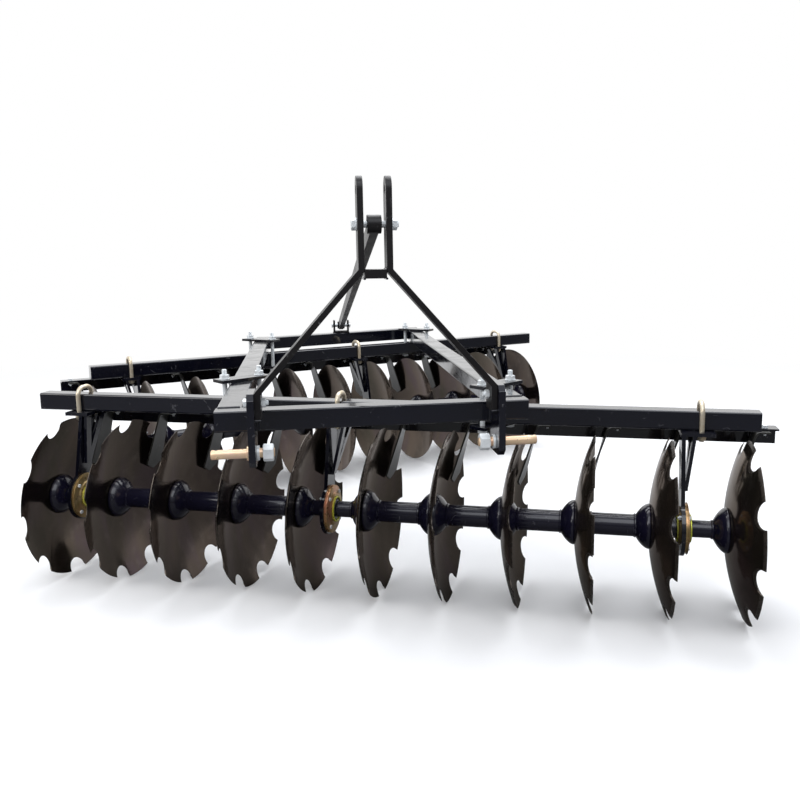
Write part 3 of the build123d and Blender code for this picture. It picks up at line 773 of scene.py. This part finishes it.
# pin of the brace's rear clevis, held by a cotter with two legs
clevisForm = {"y": 1790, "z": 612, "outer": 35, "cotterX": 39, "wire": 1.4, "legs": ((0, 13), (2.6, 11))}
form = clevisForm
pin = turned([(-43, 7), (-42, 11.5), (-38.4, 12), (-37.8, 8), (-35, 8), (42, 8), (43, 7)], 36, False)
build("clevisPin", [put(pin, at(0, form["y"], form["z"]))], hitchPlace, whiteZinc, "frame",
      ["clevis_pin"])
cotter = [put(rod(form["wire"], -13, long, 0.4, 12), at(form["cotterX"], form["y"] + dy, form["z"], "Z"))
          for dy, long in form["legs"]]
build("clevisCotter", cotter, hitchPlace, whiteZinc, "frame", ())
print("pins and mast fasteners made")

# weld beads: hitch plates, rails, mast tie, clevis and mast feet on each side, then the rear tube and the brace
weldForm = {
    "proud": 0.2, "inset": 4, "tieX": 25, "tieY": (-74, -16), "tieLow": 879.6, "tieHigh": 900.4,
    "clevisHalf": 18, "footX": 277.7, "footY": -75, "footZ": 568.5, "footLong": 14,
    "rearX": 314.8, "rearHalf": 27,
    "braceTop": ((0, -45, 1000), 21.5), "braceFoot": ((0, 1790, 612), 16.5), "braceX": 10, "braceHalf": 14,
}
form, beads = weldForm, []
low, high = frameForm["low"] + form["inset"], frameForm["top"] - form["inset"]
back = frameForm["tube"] + form["proud"]
for s in (-1, 1):
    x = s * frameForm["plateOuter"]
    for px in (x, x - s * frameForm["plate"]):
        beads.append(bead([(px, 0, low), (px, 0, high)], 3.4))
    inner, outer = s * frameForm["railInner"], s * frameForm["railOuter"]
    beads.append(bead([(inner, back, low), (inner, back, high)], 3.2))
    for z in (frameForm["top"], frameForm["low"]):
        beads.append(bead([(inner + s * form["inset"], back, z), (outer - s * form["inset"], back, z)], 3.0))
    tie, (y0, y1) = s * form["tieX"], form["tieY"]
    beads.append(bead([(tie, y0, form["tieLow"]), (tie, y1, form["tieLow"])], 2.8))
    beads.append(bead([(tie, y0, form["tieHigh"]), (tie, y1, form["tieHigh"])], 2.4))
    x, y, z = s * clevisForm["outer"], clevisForm["y"], frameForm["top"] + 0.4
    beads.append(bead([(x, y - form["clevisHalf"], z), (x, y + form["clevisHalf"], z)], 2.8))
    x, y, z = s * form["footX"], form["footY"], form["footZ"]
    beads.append(bead([(x - s * form["footLong"], y, z), (x, y, z)], 2.6))
for s in (-1, 1):
    x = s * form["rearX"]
    y = frameForm["rearY"] + math.tan(math.radians(frameForm["rearSkew"])) * x
    for dy in (-form["rearHalf"], form["rearHalf"]):
        beads.append(bead([(x, y + dy, low), (x, y + dy, high)], 3.0))
    beads.append(bead([(x, y - 24, frameForm["top"]), (x, y + 24, frameForm["top"])], 2.8))
(top, topEye), (foot, footEye) = form["braceTop"], form["braceFoot"]
brace = (Vector(foot) - Vector(top)).normalized()
for centre in (Vector(top) + brace * topEye, Vector(foot) - brace * footEye):
    for x in (-form["braceX"], form["braceX"]):
        side, up = Vector((x, 0, 0)), Vector((0, 0, form["braceHalf"]))
        beads.append(bead([centre + side - up, centre + side + up], 2.4))
build("frameWelds", beads, hitchPlace, weldPaint, "frame", (), 60)

# beads under each hanger plate: both faces of the standard, then both legs of the V
hangerForm = {"low": 237.8, "half": 29, "y": 44, "face": 4.8, "thickness": 10, "legs": (25, 96), "legHalf": 4.6}
for name, gang in gangs.items():
    form, beads, z = hangerForm, [], hangerForm["low"]
    for p, leg in zip(gang["bearings"], gang["legs"]):
        for dx in (0, form["thickness"]):
            x = p - gang["side"] * (form["face"] + dx)
            beads.append(bead([(x, form["y"] - form["half"], z), (x, form["y"] + form["half"], z)], 2.8))
        for y in form["legs"]:
            for x in (leg - form["legHalf"], leg + form["legHalf"]):
                beads.append(bead([(x, y - 9, z), (x, y + 9, z)], 2.4))
    build(name + "HangerWelds", beads, gang["place"], weldPaint, "frame", (), 60)
print("welds made")

# brightness of floor and room as the camera, mirrors and dull surfaces see them; front is where the hitch faces
studio = {
    "floor": 0.94, "bounce": 0.42, "mirrorFront": 0.13, "mirrorBack": 0.5, "fadeFrom": 2.2, "fadeTo": 5.0,
    "sky": 0.72, "side": 0.3, "front": 0.1, "fillSide": 0.52,
    "skyTint": (0.94, 0.97, 1.06), "fillTint": (0.96, 0.98, 1.04),
}

floorMesh = bpy.data.meshes.new("floor")
work = bmesh.new()
bmesh.ops.create_circle(work, cap_ends=True, segments=96, radius=60)
work.to_mesh(floorMesh)
work.free()
floor = bpy.data.objects.new("floor", floorMesh)
bpy.context.scene.collection.objects.link(floor)
floor.location = (0, 0, -0.0005)

# pale floor that fades to white, and shows white only behind the object in what mirrors it
floorFinish, tree, shader = newFinish("floorFinish", grey(studio["floor"]), 0.9)
shader.inputs["Specular IOR Level"].default_value = 0.1
speckle = rangeOn(tree, noiseOn(tree, 7, 6), studio["floor"] - 0.01, studio["floor"] + 0.01)
rays = tree.nodes.new("ShaderNodeLightPath")
ground = tree.nodes.new("ShaderNodeNewGeometry")
behind = rangeOn(tree, axisOf(tree, ground.outputs["Position"], "Y"), 0, 1, -0.6, 0.6)
mirrored = mixOn(tree, behind, grey(studio["mirrorFront"]), grey(studio["mirrorBack"]))
bounced = mixOn(tree, rays.outputs["Is Glossy Ray"], grey(studio["bounce"]), mirrored)
tree.links.new(mixOn(tree, rays.outputs["Is Camera Ray"], bounced, speckle), shader.inputs["Base Color"])
white = tree.nodes.new("ShaderNodeEmission")
white.inputs["Color"].default_value = (1, 1, 1, 1)
away = measureOn(tree, "LENGTH", ground.outputs["Position"])
far = rangeOn(tree, away, 0, 1, studio["fadeFrom"], studio["fadeTo"])
seen = mathOn(tree, "MAXIMUM", rays.outputs["Is Camera Ray"], rays.outputs["Is Transmission Ray"])
seen = mathOn(tree, "MAXIMUM", mathOn(tree, "MULTIPLY", rays.outputs["Is Glossy Ray"], behind), seen)
blend = tree.nodes.new("ShaderNodeMixShader")
tree.links.new(mathOn(tree, "MULTIPLY", far, seen), blend.inputs["Fac"])
tree.links.new(shader.outputs["BSDF"], blend.inputs[1])
tree.links.new(white.outputs["Emission"], blend.inputs[2])
tree.links.new(blend.outputs["Shader"], tree.nodes["Material Output"].inputs["Surface"])
floorMesh.materials.append(floorFinish)

# the room: white for the camera, white behind and darker in front for mirrors, fuller for dull surfaces
world = bpy.data.worlds.new("studioWorld")
bpy.context.scene.world = world
world.use_nodes = True
tree = world.node_tree
background = tree.nodes["Background"]
coords = tree.nodes.new("ShaderNodeTexCoord")
backward = axisOf(tree, coords.outputs["Generated"], "Y")
height = rangeOn(tree, axisOf(tree, coords.outputs["Generated"], "Z"), 0, 1, 0.0, 0.9)
walls = mixOn(tree, rangeOn(tree, backward, 0, 1, -0.55, 0.4), grey(studio["front"]), grey(studio["side"]))
mirrorSky = mixOn(tree, height, walls, tuple(studio["sky"] * c for c in studio["skyTint"]))
fillSky = mixOn(tree, height, grey(studio["fillSide"]), tuple(studio["sky"] * c for c in studio["fillTint"]))
rays = tree.nodes.new("ShaderNodeLightPath")
sky = mixOn(tree, rays.outputs["Is Diffuse Ray"], mirrorSky, fillSky)
behind = rangeOn(tree, backward, 0, 1, -0.15, 0.35)
seen = mathOn(tree, "MAXIMUM", rays.outputs["Is Camera Ray"], rays.outputs["Is Transmission Ray"])
seen = mathOn(tree, "MAXIMUM", seen, mathOn(tree, "MULTIPLY", rays.outputs["Is Glossy Ray"], behind))
tree.links.new(mixOn(tree, seen, sky, grey(1.0)), background.inputs["Color"])
background.inputs["Strength"].default_value = 1.0

softboxes = {
    "skyPanel": {"spot": (0.6, 1.6, 4.4), "size": (5, 4), "watts": 200, "colour": (0.95, 0.97, 1.0)},
    "frontPanel": {"spot": (-0.6, -3.0, 3.4), "size": (5, 2.6), "watts": 70, "colour": (0.93, 0.96, 1.0)},
    "sidePanel": {"spot": (-4.2, -2.2, 2.6), "size": (2.6, 2.2), "watts": 70, "colour": (1.0, 0.98, 0.95)},
}
aim = Vector((0, 0, 0.4))
for name, box in softboxes.items():
    light = bpy.data.lights.new(name, "AREA")
    light.shape = "RECTANGLE"
    light.size, light.size_y = box["size"]
    light.energy = box["watts"]
    light.color = box["colour"]
    lamp = bpy.data.objects.new(name, light)
    bpy.context.scene.collection.objects.link(lamp)
    lamp.location = box["spot"]
    lamp.rotation_euler = (aim - Vector(box["spot"])).to_track_quat("-Z", "Y").to_euler()
    lamp.visible_camera = False

# yaw to the right, then down, then roll, in degrees
view = {
    "spot": (-0.1482, -2.7541, 0.9362), "yaw": 9.2, "down": 8.7, "roll": 0.6,
    "lens": 35.54, "sensor": 36, "shiftX": -0.0429, "shiftY": -0.0334,
}
lens = bpy.data.cameras.new("camera")
lens.lens = view["lens"]
lens.sensor_width = view["sensor"]
lens.shift_x, lens.shift_y = view["shiftX"], view["shiftY"]
lens.clip_end = 200
camera = bpy.data.objects.new("camera", lens)
bpy.context.scene.collection.objects.link(camera)
yaw, down, roll = (math.radians(view[k]) for k in ("yaw", "down", "roll"))
ahead = Vector((math.sin(yaw) * math.cos(down), math.cos(yaw) * math.cos(down), -math.sin(down)))
level = Vector((math.cos(yaw), -math.sin(yaw), 0))
below = ahead.cross(level)
right = level * math.cos(roll) + below * math.sin(roll)
under = below * math.cos(roll) - level * math.sin(roll)
turnOf = Matrix((right, -under, -ahead)).transposed().to_4x4()
camera.matrix_world = Matrix.Translation(view["spot"]) @ turnOf
bpy.context.scene.camera = camera
bpy.context.scene.view_settings.view_transform = "Standard"
print("studio set")
